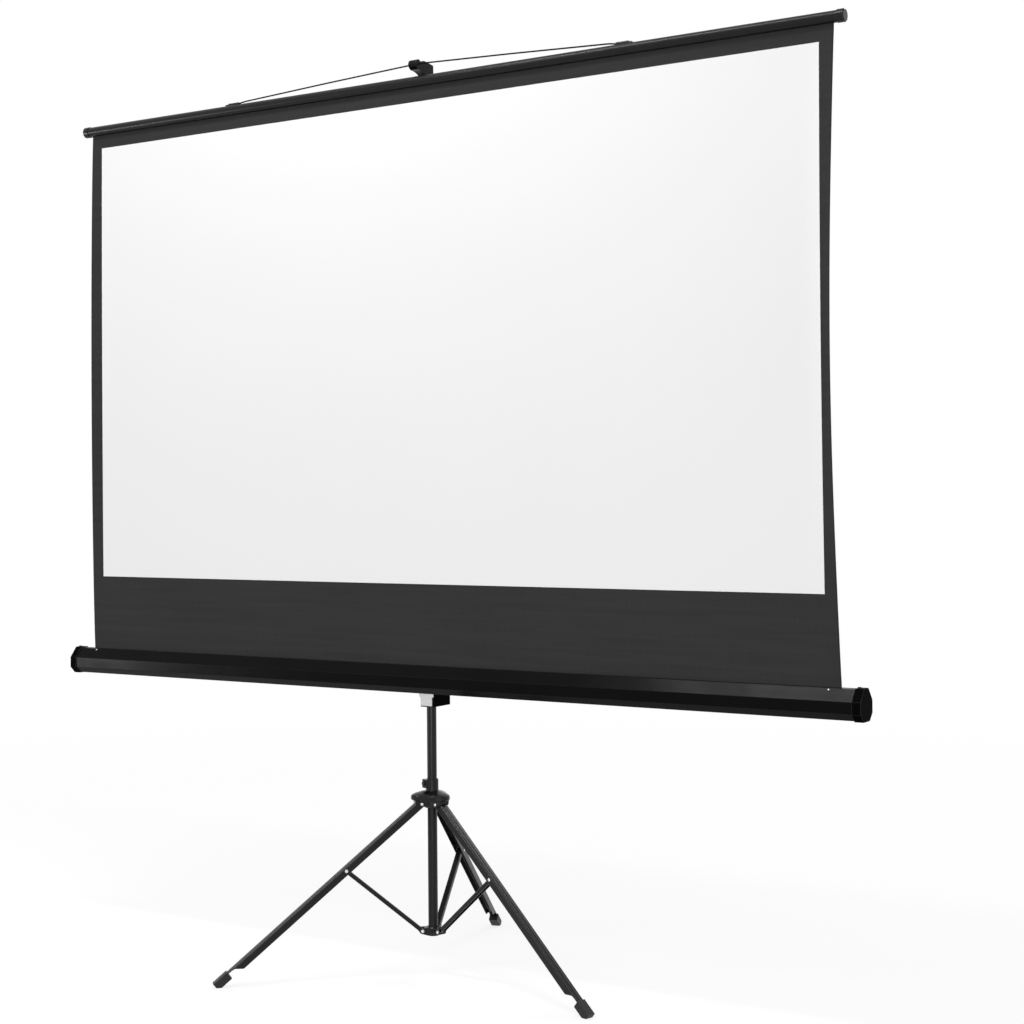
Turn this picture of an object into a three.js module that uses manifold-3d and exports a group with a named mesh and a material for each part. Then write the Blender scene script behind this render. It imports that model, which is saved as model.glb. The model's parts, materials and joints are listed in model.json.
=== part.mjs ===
// Tripod projection screen: a spring-rolled viewing fabric drawn up out of an eight-sided case,
// hung by a wire bail from the hook of a telescopic mast that stands on a folding tripod.
// Millimetres, +Z up, the viewing side faces -Y. The floor is z = 0.
import * as THREE from "three";
import { mergeVertices } from "three/addons/utils/BufferGeometryUtils.js";
import Module from "manifold-3d";

const wasm = await Module();
wasm.setup();

// Clearances
const GAP = 0.3;
const PIVOT_PLAY = 0.3;
const SIDE_PLAY = 0.6;

// Viewing fabric
const VIEW_W = 2214;
const VIEW_H = 1245;
const VIEW_Z = 1009;
const BORDER_SIDE = 36;
const BORDER_TOP = 38;
const BORDER_DROP = 208;
const FABRIC_T = 0.8;
const FABRIC_FRONT = 54;
const CURL_RIGHT = 30;
const CURL_LEFT = 12;
const CURL_REACH = 80;
const HEM_R = 3;

// Top bar and its end caps
const BAR_R = 14;
const BAR_WALL = 1.6;
const BAR_SLOT = 3.4;
const BAR_OVERHANG = 27.5;
const BAR_CAP_WALL = 1.3;
const BAR_CAP_FACE = 4;
const BAR_CAP_SKIRT = 18;

// Case and its end caps
const CASE_OVERHANG = 59;
const CASE_H = 70;
const CASE_D = 68;
const CASE_WALL = 1.6;
const CASE_UP_H = 27;
const CASE_UP_D = 22;
const CASE_LOW = 16;
const CASE_SLOT = 10;
const CASE_SETBACK = 5;
const CASE_CAP_WALL = 1.8;
const CASE_CAP_FACE = 3;
const CASE_CAP_SKIRT = 18;

// Spring roller
const ROLLER_R = 14;
const ROLLER_WALL = 1.2;
const ROLLER_LIFT = 33;
const ROLLER_PIN_R = 4;
const ROLLER_PIN_LEN = 11;
const ROLLER_INSERT = 25;
const ROLLER_FLANGE = 3;
const ROLLER_BOSS_R = 9;
const ROLLER_BOSS_LEN = 9;

// Bail wire and its clips
const WIRE_R = 2;
const BAIL_SPAN = 1170;
const BAIL_RISE = 38;
const BAIL_KICK = 3.5;
const BAIL_KICK_RUN = 14;
const BAIL_TAIL = 30;
const BAIL_LEAN = 25;
const CLIP_LEN = 44;
const CLIP_MARGIN = 5;
const CLIP_WALL = 1.3;
const CLIP_W = 11;
const CLIP_RIVET_R = 3.2;

// Mast, extension and lock
const MAST_R = 12.5;
const MAST_WALL = 1.5;
const MAST_TOP = 1262;
const EXT_R = 9.5;
const EXT_WALL = 1.2;
const EXT_OVERLAP = 122;
const LOCK_WALL = 4;
const LOCK_SKIRT = 34;
const LOCK_LID = 8;
const LOCK_BOSS_R = 8;
const LOCK_BOSS_REACH = 27;
const LOCK_KNOB_R = 15;
const LOCK_KNOB_T = 11;
const LOCK_STEM_R = 3;

// Hook head
const HOOK_W = 24;
const HOOK_POST_R = 14;
const HOOK_SOCKET = 32;
const HOOK_NOSE = 20;
const HOOK_PEAK = 10;
const HOOK_NOSE_UP = 9;
const HOOK_ARM = 20;
const HOOK_SWAY = 6;

// Bracket between mast and case
const BRACKET_W = 40;
const BRACKET_BACK = 62;
const BRACKET_Z = 690;
const BRACKET_H = 88;
const BRACKET_SPLIT = 3;
const BRACKET_BOLT_R = 4;
const PLATE_T = 2.4;
const PLATE_W = 43;
const PLATE_TONGUE_W = 35;
const PLATE_TONGUE_H = 20;
const PLATE_H = 86;
const PLATE_LIFT = 3;
const PLATE_STUD_R = 5;
const PLATE_STUD_LEN = 5;
const PLATE_RIVET_R = 2.4;
const PLATE_RIVET_PITCH = 26;

// Tripod
const LEG_ANGLE = 50.2;
const LEG_TURN = 15;
const SPIDER_Z = 441;
const COLLAR_Z = 113;
const HINGE_R = 30;
const LEG_W = 22;
const LEG_D = 20;
const LEG_WALL = 1.5;
const LEG_BEND = 3.5;
const LEG_RIB_W = 7;
const LEG_RIB_H = 0.8;
const LEG_END = 20;
const LEG_TONGUE = 40;
const LEG_TAPER = 22;
const SHOE_LEN = 44;
const SHOE_W = 25;
const SHOE_TOP = 2;
const SHOE_LOW = 8.5;
const SHOE_ROUND = 1.6;
const STAY_W = 15;
const STAY_D = 11;
const STAY_WALL = 1.5;
const STAY_BEND = 2;
const PIN_R = 2.5;
const RIVET_HEAD_R = 4.5;
const RIVET_HEAD_H = 1.8;

// Sliding spider
const SPIDER_CHEEK = 4.9;
const SPIDER_LOBE = 56;
const SPIDER_WAIST = 16;
const SPIDER_TOP = 32;
const SPIDER_FOOT = 11;
const SPIDER_RIM = 20;
const SPIDER_CORE_R = 27;
const SPIDER_NECK_R = 16.5;
const SPIDER_NECK_H = 30;
const CLAMP_BOSS_W = 17;
const CLAMP_BOSS_H = 22;
const CLAMP_BOSS_REACH = 25;
const CLAMP_TURN = 112;
const CLAMP_SCREW_R = 3;
const CLAMP_HEAD_R = 6;
const CLAMP_HEAD_T = 3.5;

// Bottom collar
const COLLAR_R = 19;
const COLLAR_BASE_R = 15;
const COLLAR_DOWN = 13.5;
const COLLAR_UP = 9;
const COLLAR_FLOOR = 4;
const COLLAR_EAR = 3.5;
const COLLAR_EAR_R = 8;
const COLLAR_SCREW_R = 2.6;

// Places that follow from the sizes above
const rad = THREE.MathUtils.degToRad;
const legDrop = Math.cos(rad(LEG_ANGLE));
const legOut = Math.sin(rad(LEG_ANGLE));
const LINK = (SPIDER_Z - COLLAR_Z) / 2 / legDrop;
const LEG_LINE = SPIDER_Z / legDrop;
const LEG_LEN = LEG_LINE - LEG_END;
const FABRIC_W = VIEW_W + 2 * BORDER_SIDE;
const BAR_LEN = FABRIC_W + 2 * BAR_OVERHANG;
const CASE_LEN = FABRIC_W + 2 * CASE_OVERHANG;
const BAR_Z = VIEW_Z + VIEW_H + BORDER_TOP + BAR_R;
const CASE_TOP = VIEW_Z - BORDER_DROP;
const CASE_Z = CASE_TOP - CASE_H;
const FABRIC_Y = -FABRIC_FRONT;
const CASE_Y = FABRIC_Y - CASE_SETBACK;
const ROLLER_Y = FABRIC_Y - FABRIC_T / 2 - GAP - ROLLER_R;
const ROLLER_Z = CASE_Z + ROLLER_LIFT;
const CASE_BACK = CASE_Y + CASE_D / 2;
const PLATE_Y = CASE_BACK + GAP;
const BRACKET_FRONT = PLATE_Y + PLATE_T + GAP;
const MAST_BORE = MAST_R + GAP;
const MAST_FOOT = COLLAR_Z - COLLAR_DOWN + COLLAR_FLOOR + GAP;
const BAIL_Z = BAR_Z + BAR_R + GAP + WIRE_R;
const WIRE_Y = FABRIC_Y + BAIL_RISE * Math.sin(rad(BAIL_LEAN));
const WIRE_Z = BAIL_Z + BAIL_RISE * Math.cos(rad(BAIL_LEAN));
const EXT_TOP = WIRE_Z - WIRE_R - 12;
const CURL_FOOT = CASE_TOP + 6;
const LEGS = { left: 120 + LEG_TURN, right: LEG_TURN, back: LEG_TURN - 120 };
const FOOT_REACH = HINGE_R + LEG_LINE * legOut;
const MAST_Y = -FOOT_REACH * (Math.sin(rad(-LEGS.back)) - Math.sin(rad(LEGS.left))) / 2;

// Finishes
const finish = (color, roughness, metalness) => new THREE.MeshStandardMaterial({ color, roughness, metalness });
const blackTube = finish(0x2b2b2c, 0.42, 0.3);
const blackPlastic = finish(0x1d1d1e, 0.55, 0);
const caseBlack = finish(0x242425, 0.38, 0.4);
const bright = finish(0xd2d2d0, 0.3, 0.9);
const plateSteel = finish(0xbfc0c0, 0.4, 0.9);
const viewWhite = finish(0xf3f3f2, 0.9, 0);
const rollerGrey = finish(0x9a9c9e, 0.45, 0.7);

// Shape helpers
const X = new THREE.Vector3(1, 0, 0);
const Y = new THREE.Vector3(0, 1, 0);
const Z = new THREE.Vector3(0, 0, 1);

function weld(geometry) {
  const bare = geometry.clone();
  bare.deleteAttribute("normal");
  bare.deleteAttribute("uv");
  const joined = mergeVertices(bare, 1e-4);
  const index = joined.index.array;
  const kept = [];
  for (let i = 0; i < index.length; i += 3) {
    const [a, b, c] = [index[i], index[i + 1], index[i + 2]];
    if (a !== b && b !== c && c !== a) kept.push(a, b, c);
  }
  joined.setIndex(kept);
  return joined;
}

function solid(geometry) {
  const joined = weld(geometry);
  return new wasm.Manifold(new wasm.Mesh({
    numProp: 3,
    vertProperties: new Float32Array(joined.attributes.position.array),
    triVerts: new Uint32Array(joined.index.array),
  }));
}

function geometryOf(body) {
  const mesh = body.getMesh();
  const geometry = new THREE.BufferGeometry();
  geometry.setAttribute("position", new THREE.BufferAttribute(new Float32Array(mesh.vertProperties), 3));
  geometry.setIndex(Array.from(mesh.triVerts));
  geometry.computeVertexNormals();
  return geometry;
}

const join = (...bodies) => bodies.reduce((a, b) => a.add(b));
const cut = (body, ...tools) => tools.reduce((a, b) => a.subtract(b), body);

// A plan outline pushed along Z from z0 to z1
function prism(shape, z0, z1, curveSegments = 12) {
  const g = new THREE.ExtrudeGeometry(shape, { depth: z1 - z0, bevelEnabled: false, curveSegments });
  return g.translate(0, 0, z0);
}

// An outline drawn in (Y, Z) pushed along X from x0 to x1
function runX(shape, x0, x1, curveSegments = 12) {
  const g = prism(shape, x0, x1, curveSegments);
  return g.applyMatrix4(new THREE.Matrix4().makeBasis(Y, Z, X));
}

// An outline drawn in (X, Z) pushed along Y, centred on y = 0, with an optional rounded edge
function runY(shape, width, round = 0, curveSegments = 12, segments = 2) {
  const g = new THREE.ExtrudeGeometry(shape, {
    depth: width - 2 * round,
    bevelEnabled: round > 0,
    bevelThickness: round,
    bevelSize: round,
    bevelOffset: -round,
    bevelSegments: segments,
    curveSegments,
  });
  g.translate(0, 0, -(width - 2 * round) / 2);
  return g.applyMatrix4(new THREE.Matrix4().makeBasis(X, Z, Y.clone().negate()));
}

function rod(radius, from, to, axis, sides = 20) {
  const g = new THREE.CylinderGeometry(radius, radius, to - from, sides);
  g.translate(0, (from + to) / 2, 0);
  if (axis === "x") g.rotateZ(-Math.PI / 2);
  if (axis === "z") g.rotateX(Math.PI / 2);
  return g;
}

// A profile of (radius, height) pairs turned about Z
function turned(profile, sides = 28) {
  const g = new THREE.LatheGeometry(profile.map(([r, h]) => new THREE.Vector2(r, h)), sides);
  return g.rotateX(Math.PI / 2);
}

function outline(points) {
  const shape = new THREE.Shape();
  points.forEach(([u, v], i) => (i ? shape.lineTo(u, v) : shape.moveTo(u, v)));
  shape.closePath();
  return shape;
}

function roundTube(outer, wall, z0, z1, sides = 32) {
  return turned([[outer, z0], [outer, z1], [outer - wall, z1], [outer - wall, z0], [outer, z0]], sides);
}

const product = new THREE.Group();
const stand = new THREE.Group();
stand.position.y = MAST_Y;
product.add(stand);

function add(parent, name, shape, material) {
  const geometry = shape.isBufferGeometry ? weld(shape) : geometryOf(shape);
  geometry.computeVertexNormals();
  const mesh = new THREE.Mesh(geometry, material);
  mesh.name = name;
  parent.add(mesh);
  return mesh;
}

// A pivot rivet along Y: shank, and a low domed head outside each cheek
function rivet(cheeks, shank = PIN_R) {
  const inner = cheeks / 2 + GAP;
  const outer = inner + RIVET_HEAD_H;
  const crown = RIVET_HEAD_R * 0.6;
  return turned([
    [0, -outer], [crown, -outer], [RIVET_HEAD_R, -inner - RIVET_HEAD_H / 3], [RIVET_HEAD_R, -inner],
    [shank, -inner], [shank, inner], [RIVET_HEAD_R, inner], [RIVET_HEAD_R, inner + RIVET_HEAD_H / 3],
    [crown, outer], [0, outer],
  ], 12).rotateX(Math.PI / 2);
}

// A U section of bent strip: web on top, open below, drawn in (Y, Z) about the pin line
function channelSection(width, depth, wall, bend, ribW = 0, ribH = 0) {
  const w = width / 2;
  const d = depth / 2;
  const s = new THREE.Shape();
  s.moveTo(-w, -d);
  s.lineTo(-w + wall, -d);
  s.lineTo(-w + wall, d - bend);
  s.quadraticCurveTo(-w + wall, d - wall, -w + bend, d - wall);
  s.lineTo(w - bend, d - wall);
  s.quadraticCurveTo(w - wall, d - wall, w - wall, d - bend);
  s.lineTo(w - wall, -d);
  s.lineTo(w, -d);
  s.lineTo(w, d - bend);
  s.quadraticCurveTo(w, d, w - bend, d);
  if (ribH > 0) {
    s.lineTo(ribW / 2, d);
    s.quadraticCurveTo(0, d + 2 * ribH, -ribW / 2, d);
  }
  s.lineTo(-w + bend, d);
  s.quadraticCurveTo(-w, d, -w, d - bend);
  s.closePath();
  return s;
}

// Mast tube
add(stand, "mast_tube", roundTube(MAST_R, MAST_WALL, MAST_FOOT, MAST_TOP), blackTube);

// Bottom collar: a tapered cup on the mast's foot with three pairs of ears
const stayGap = STAY_W + 2 * SIDE_PLAY;
const collarWidth = stayGap + 2 * COLLAR_EAR;
const collarLow = COLLAR_Z - COLLAR_DOWN;
const collarHigh = COLLAR_Z + COLLAR_UP;
const collarParts = [solid(turned([
  [0, collarLow], [COLLAR_BASE_R, collarLow], [COLLAR_R, collarLow + 6], [COLLAR_R, collarHigh - 2],
  [COLLAR_R - 2, collarHigh], [0, collarHigh],
], 36))];
const earSide = new THREE.Shape();
earSide.moveTo(0, collarLow + 1);
earSide.lineTo(COLLAR_BASE_R, collarLow + 1);
earSide.absarc(HINGE_R, COLLAR_Z, COLLAR_EAR_R, -0.92, Math.PI * 0.62, false);
earSide.lineTo(COLLAR_R - 4, collarHigh - 1);
earSide.lineTo(0, collarHigh - 1);
earSide.closePath();
const spin = (g, az) => g.rotateZ(-rad(az));
for (const az of Object.values(LEGS)) {
  collarParts.push(solid(spin(runY(earSide, collarWidth, 0.8, 5, 1), az)));
}
const slotFrom = HINGE_R - STAY_D / 2 - 1.2;
const collarTools = [solid(rod(MAST_BORE, MAST_FOOT - GAP, collarHigh + 20, "z", 32))];
for (const az of Object.values(LEGS)) {
  const slot = new THREE.BoxGeometry(60, stayGap, 80).translate(slotFrom + 30, 0, COLLAR_Z);
  collarTools.push(solid(spin(slot, az)));
  const hole = rod(PIN_R + PIVOT_PLAY, -collarWidth, collarWidth, "y", 12).translate(HINGE_R, 0, COLLAR_Z);
  collarTools.push(solid(spin(hole, az)));
}
const screwAz = (LEGS.left + LEGS.right) / 2;
const screwPlace = (g) => spin(g.rotateZ(-Math.PI / 2), screwAz);
collarTools.push(solid(screwPlace(rod(COLLAR_SCREW_R + GAP, MAST_R, COLLAR_R + 9, "y", 14).translate(0, 0, COLLAR_Z))));
add(stand, "bottom_collar", cut(join(...collarParts), ...collarTools), blackPlastic);

// Set screw that holds the collar on the mast
const setScrew = join(
  solid(rod(COLLAR_SCREW_R, MAST_R + GAP, COLLAR_R + GAP, "y", 14)),
  solid(rod(COLLAR_SCREW_R * 1.5, COLLAR_R + GAP, COLLAR_R + 2, "y", 14)),
);
add(stand, "collar_screw", screwPlace(geometryOf(setScrew).translate(0, 0, COLLAR_Z)), blackPlastic);

// Sliding spider: three lobes round a core, a neck with a clamp boss, and a slot for each leg
const legGap = LEG_W + 2 * SIDE_PLAY;
const lobeWidth = legGap + 2 * SPIDER_CHEEK;
const spiderLow = SPIDER_Z - SPIDER_FOOT;
const spiderHigh = SPIDER_Z + SPIDER_TOP;
const neckHigh = spiderHigh + SPIDER_NECK_H;
const spiderParts = [
  solid(turned([
    [0, spiderLow], [SPIDER_CORE_R - 4, spiderLow], [SPIDER_CORE_R, spiderLow + 4], [SPIDER_CORE_R, SPIDER_Z + SPIDER_RIM],
    [SPIDER_NECK_R, SPIDER_Z + SPIDER_RIM + 4], [SPIDER_NECK_R, neckHigh - 2], [SPIDER_NECK_R - 1.5, neckHigh], [0, neckHigh],
  ], 36)),
];

// The dome: rings of a three-lobed plan stacked from the rim up to the neck
function lobedDome(levels, sides) {
  const position = [];
  const index = [];
  const reach = (a) => SPIDER_LOBE - SPIDER_WAIST * (0.5 - 0.5 * Math.cos(3 * (a + rad(LEGS.left))));
  for (const [scale, z] of levels) {
    for (let i = 0; i < sides; i++) {
      const a = (2 * Math.PI * i) / sides;
      position.push(scale * reach(a) * Math.cos(a), scale * reach(a) * Math.sin(a), z);
    }
  }
  const top = levels.length - 1;
  const foot = position.length / 3;
  position.push(0, 0, levels[0][1], 0, 0, levels[top][1]);
  for (let i = 0; i < sides; i++) {
    const j = (i + 1) % sides;
    for (let r = 0; r < top; r++) {
      const [a, b, c, d] = [r * sides + i, r * sides + j, (r + 1) * sides + j, (r + 1) * sides + i];
      index.push(a, b, c, a, c, d);
    }
    index.push(foot, j, i, foot + 1, top * sides + i, top * sides + j);
  }
  const geometry = new THREE.BufferGeometry();
  geometry.setAttribute("position", new THREE.Float32BufferAttribute(position, 3));
  geometry.setIndex(index);
  return geometry;
}
const domeRise = SPIDER_TOP - SPIDER_RIM;
spiderParts.push(solid(lobedDome([
  [0.96, SPIDER_Z + SPIDER_RIM - 11], [1, SPIDER_Z + SPIDER_RIM - 8], [1, SPIDER_Z + SPIDER_RIM - 1],
  [0.95, SPIDER_Z + SPIDER_RIM + 0.2 * domeRise], [0.8, SPIDER_Z + SPIDER_RIM + 0.5 * domeRise],
  [0.58, SPIDER_Z + SPIDER_RIM + 0.78 * domeRise], [0.4, spiderHigh],
], 48)));
const lobeSide = outline([
  [0, spiderLow + 3], [SPIDER_LOBE - 20, spiderLow + 3], [SPIDER_LOBE - 10, SPIDER_Z - 2],
  [SPIDER_LOBE - 7, SPIDER_Z + SPIDER_RIM - 7], [0, SPIDER_Z + SPIDER_RIM - 7],
]);
for (const az of Object.values(LEGS)) {
  spiderParts.push(solid(spin(runY(lobeSide, lobeWidth, 2, 6), az)));
}
const clampZ = neckHigh - CLAMP_BOSS_H / 2;
const bossPlan = new THREE.BoxGeometry(CLAMP_BOSS_REACH, CLAMP_BOSS_W, CLAMP_BOSS_H);
spiderParts.push(solid(spin(bossPlan.translate(CLAMP_BOSS_REACH / 2, 0, clampZ), CLAMP_TURN)));
const headRoom = LEG_D / 2 + LEG_RIB_H + SIDE_PLAY;
const webNormal = [legDrop, legOut];
const legSlot = new THREE.Shape();
const normalAngle = Math.atan2(webNormal[1], webNormal[0]);
legSlot.absarc(HINGE_R, SPIDER_Z, headRoom, normalAngle, Math.PI, false);
const slotRun = 2 * SPIDER_LOBE;
const slotLow = SPIDER_Z - slotRun;
legSlot.lineTo(HINGE_R - headRoom, slotLow);
legSlot.lineTo(HINGE_R + 2 * slotRun, slotLow);
legSlot.lineTo(
  HINGE_R + headRoom * webNormal[0] + slotRun * legOut, SPIDER_Z + headRoom * webNormal[1] - slotRun * legDrop,
);
legSlot.closePath();
const spiderTools = [solid(rod(MAST_BORE, spiderLow - 10, neckHigh + 10, "z", 32))];
for (const az of Object.values(LEGS)) {
  spiderTools.push(solid(spin(runY(legSlot, legGap, 0, 8), az)));
  const hole = rod(PIN_R + PIVOT_PLAY, -lobeWidth, lobeWidth, "y", 12).translate(HINGE_R, 0, SPIDER_Z);
  spiderTools.push(solid(spin(hole, az)));
}
const clampPlace = (g) => spin(g.rotateZ(-Math.PI / 2), CLAMP_TURN);
spiderTools.push(solid(clampPlace(
  rod(CLAMP_SCREW_R + PIVOT_PLAY, MAST_R, CLAMP_BOSS_REACH + 5, "y", 16).translate(0, 0, clampZ),
)));
add(stand, "spider_hub", cut(join(...spiderParts), ...spiderTools), blackPlastic);

// Clamp screw of the spider: a shank with a fluted thumb head
function flutedDisc(radius, lobes, depth, steps) {
  const ring = [];
  for (let i = 0; i < lobes * steps; i++) {
    const a = (2 * Math.PI * i) / (lobes * steps);
    const r = radius - depth * (0.5 - 0.5 * Math.cos(lobes * a));
    ring.push([r * Math.cos(a), r * Math.sin(a)]);
  }
  return outline(ring);
}
const thumb = prism(flutedDisc(CLAMP_HEAD_R, 12, 0.7, 4), 0, CLAMP_HEAD_T).rotateX(-Math.PI / 2);
const clampScrew = join(
  solid(rod(CLAMP_SCREW_R, MAST_R + GAP, CLAMP_BOSS_REACH + GAP + 1, "y", 16)),
  solid(thumb.translate(0, CLAMP_BOSS_REACH + GAP, 0)),
);
add(stand, "spider_clamp_screw", clampPlace(geometryOf(clampScrew).translate(0, 0, clampZ)), blackPlastic);

// Legs, shoes, stays and their rivets, one set for each side of the tripod
const legTop = LEG_D / 2;
const tongueFrom = LEG_LEN - LEG_TONGUE;
const tongueLow = legTop - LEG_BEND;
const legSide = new THREE.Shape();
legSide.absarc(0, 0, legTop, Math.PI / 2, Math.PI * 1.5, false);
legSide.lineTo(tongueFrom - LEG_TAPER, -legTop);
legSide.lineTo(tongueFrom - LEG_TAPER / 4, tongueLow - 2);
legSide.quadraticCurveTo(tongueFrom, tongueLow, tongueFrom + 6, tongueLow);
legSide.lineTo(LEG_LEN, tongueLow);
legSide.lineTo(LEG_LEN, legTop + 2 * LEG_RIB_H);
legSide.lineTo(0, legTop + 2 * LEG_RIB_H);
legSide.closePath();
const legStrip = runX(
  channelSection(LEG_W, LEG_D, LEG_WALL, LEG_BEND, LEG_RIB_W, LEG_RIB_H), -legTop - 5, LEG_LEN + 5, 3,
);
const pinHole = (at, length) => solid(rod(PIN_R + PIVOT_PLAY, -length, length, "y", 12).translate(at, 0, 0));
const legBody = cut(
  solid(legStrip).intersect(solid(runY(legSide, LEG_W + 10, 0, 8))),
  pinHole(0, LEG_W),
  pinHole(LINK, LEG_W),
);

// The shoe's side outline in the leg's own plane; its floor face lies on z = 0
const floorAt = (s) => (s * legDrop - SPIDER_Z) / legOut;
const shoeEnd = LEG_LINE;
const shoeHigh = legTop + LEG_RIB_H + SHOE_TOP;
const shoeLow = -SHOE_LOW;
const shoeFloorFrom = (SPIDER_Z + shoeLow * legOut) / legDrop;
const shoeSide = outline([
  [shoeEnd - SHOE_LEN, shoeHigh], [shoeEnd - SHOE_LEN, shoeLow], [shoeFloorFrom, shoeLow],
  [shoeEnd, floorAt(shoeEnd)], [shoeEnd, shoeHigh],
]);
const shoeSocket = runX(outline([
  [-LEG_W / 2 - GAP, tongueLow - GAP], [LEG_W / 2 + GAP, tongueLow - GAP],
  [LEG_W / 2 + GAP, legTop + LEG_RIB_H + GAP], [-LEG_W / 2 - GAP, legTop + LEG_RIB_H + GAP],
]), shoeEnd - SHOE_LEN - 5, LEG_LEN + GAP);
const shoeBody = cut(solid(runY(shoeSide, SHOE_W, SHOE_ROUND)), solid(shoeSocket));

const staySide = new THREE.Shape();
staySide.absarc(0, 0, STAY_D / 2, Math.PI / 2, Math.PI * 1.5, false);
staySide.absarc(LINK, 0, STAY_D / 2, -Math.PI / 2, Math.PI / 2, false);
staySide.closePath();
const stayStrip = runX(channelSection(STAY_W, STAY_D, STAY_WALL, STAY_BEND), -STAY_D, LINK + STAY_D, 3);
const stayBody = cut(
  solid(stayStrip).intersect(solid(runY(staySide, STAY_W + 10, 0, 8))),
  pinHole(0, STAY_W),
  pinHole(LINK, STAY_W),
);

for (const [side, az] of Object.entries(LEGS)) {
  const plane = new THREE.Group();
  plane.rotation.z = -rad(az);
  stand.add(plane);
  const leg = new THREE.Group();
  leg.position.set(HINGE_R, 0, SPIDER_Z);
  leg.rotation.y = rad(90 - LEG_ANGLE);
  plane.add(leg);
  const stay = new THREE.Group();
  stay.position.set(HINGE_R, 0, COLLAR_Z);
  stay.rotation.y = -rad(90 - LEG_ANGLE);
  plane.add(stay);
  add(leg, `leg_${side}`, legBody, blackTube);
  add(leg, `foot_${side}`, shoeBody, blackPlastic);
  add(stay, `stay_${side}`, stayBody, blackTube);
  add(leg, `stay_rivet_${side}`, rivet(LEG_W), bright).position.set(LINK, 0, 0);
  add(plane, `hinge_rivet_${side}`, rivet(lobeWidth), bright).position.set(HINGE_R, 0, SPIDER_Z);
  add(plane, `collar_rivet_${side}`, rivet(collarWidth), bright).position.set(HINGE_R, 0, COLLAR_Z);
}

// Extension tube with a guide plug at its foot
const extFoot = MAST_TOP - EXT_OVERLAP;
add(stand, "extension_tube", roundTube(EXT_R, EXT_WALL, extFoot, EXT_TOP), blackTube);
const guideR = MAST_R - MAST_WALL - GAP;
const plugR = EXT_R - EXT_WALL - GAP;
add(stand, "extension_guide", turned([
  [0, extFoot - 22], [guideR - 2, extFoot - 22], [guideR, extFoot - 20], [guideR, extFoot - GAP],
  [plugR, extFoot - GAP], [plugR, extFoot + 28], [plugR - 1.5, extFoot + 30], [0, extFoot + 30],
]), blackPlastic);

// Lock collar on the mast's top, with a boss for the lock knob at the back
const lockR = MAST_BORE + LOCK_WALL;
const lockTop = MAST_TOP + GAP + LOCK_LID;
const lockLow = MAST_TOP - LOCK_SKIRT;
const lockZ = MAST_TOP - LOCK_SKIRT / 2;
const lockBody = cut(
  join(
    solid(turned([[0, lockLow], [lockR - 1.5, lockLow], [lockR, lockLow + 1.5], [lockR, lockTop - 3],
      [lockR - 3, lockTop], [0, lockTop]], 32)),
    solid(rod(LOCK_BOSS_R, 0, LOCK_BOSS_REACH, "y", 20).translate(0, 0, lockZ)),
  ),
  solid(rod(MAST_BORE, lockLow - 5, MAST_TOP + GAP, "z", 32)),
  solid(rod(EXT_R + GAP, MAST_TOP, lockTop + 5, "z", 32)),
  solid(rod(LOCK_STEM_R + PIVOT_PLAY, MAST_R, LOCK_BOSS_REACH + 5, "y", 16).translate(0, 0, lockZ)),
);
add(stand, "mast_lock_collar", lockBody, blackPlastic);
const knobDisc = prism(flutedDisc(LOCK_KNOB_R, 6, 2.4, 8), 0, LOCK_KNOB_T).rotateX(-Math.PI / 2);
const lockKnob = join(
  solid(rod(LOCK_STEM_R, MAST_R + GAP, LOCK_BOSS_REACH + GAP + 1, "y", 16)),
  solid(knobDisc.translate(0, LOCK_BOSS_REACH + GAP, 0)),
);
add(stand, "mast_lock_knob", geometryOf(lockKnob).translate(0, 0, lockZ), blackPlastic);

// Hook head: a post over the extension tube, an arched arm, a seat for the wire and an upturned nose
const seatZ = WIRE_Z - WIRE_R - GAP;
const seatBack = WIRE_Y + WIRE_R + GAP;
const seatFront = WIRE_Y - WIRE_R - HOOK_SWAY;
const noseTip = WIRE_Y - HOOK_NOSE - HOOK_NOSE_UP;
const noseHigh = seatZ + HOOK_NOSE_UP;
const hookLow = EXT_TOP - HOOK_SOCKET;
const armLow = seatZ - HOOK_ARM;
const hookSide = new THREE.Shape();
hookSide.moveTo(HOOK_POST_R, hookLow);
hookSide.lineTo(HOOK_POST_R, seatZ + HOOK_PEAK / 2 - 2);
hookSide.quadraticCurveTo(HOOK_POST_R, seatZ + HOOK_PEAK / 2, HOOK_POST_R - 3, seatZ + HOOK_PEAK / 2 + 0.4);
hookSide.lineTo(seatBack + 14, seatZ + HOOK_PEAK - 1);
hookSide.quadraticCurveTo(seatBack + 2, seatZ + HOOK_PEAK + 1, seatBack, seatZ + HOOK_PEAK - 4);
hookSide.lineTo(seatBack, seatZ + WIRE_R);
hookSide.quadraticCurveTo(seatBack, seatZ, seatBack - WIRE_R, seatZ);
hookSide.lineTo(seatFront + 1, seatZ);
hookSide.quadraticCurveTo(seatFront, seatZ + 2, seatFront - 1, noseHigh - 3);
hookSide.quadraticCurveTo(seatFront - 3, noseHigh, seatFront - 8, noseHigh);
hookSide.quadraticCurveTo(noseTip + 2, noseHigh - 1, noseTip, seatZ - 2);
hookSide.quadraticCurveTo(noseTip - 1, seatZ - 9, noseTip + 4, seatZ - 12);
hookSide.lineTo(noseTip + 11, armLow + 3);
hookSide.quadraticCurveTo(WIRE_Y + 4, armLow + 4, -HOOK_POST_R - 2, armLow - 8);
hookSide.quadraticCurveTo(-HOOK_POST_R, armLow - 11, -HOOK_POST_R, hookLow);
hookSide.closePath();
const hookBody = cut(
  solid(runX(hookSide, -HOOK_W / 2, HOOK_W / 2, 5)),
  solid(rod(EXT_R + GAP, hookLow - 5, EXT_TOP + GAP, "z", 32)),
);
add(stand, "hook_head", hookBody, blackPlastic);

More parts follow.
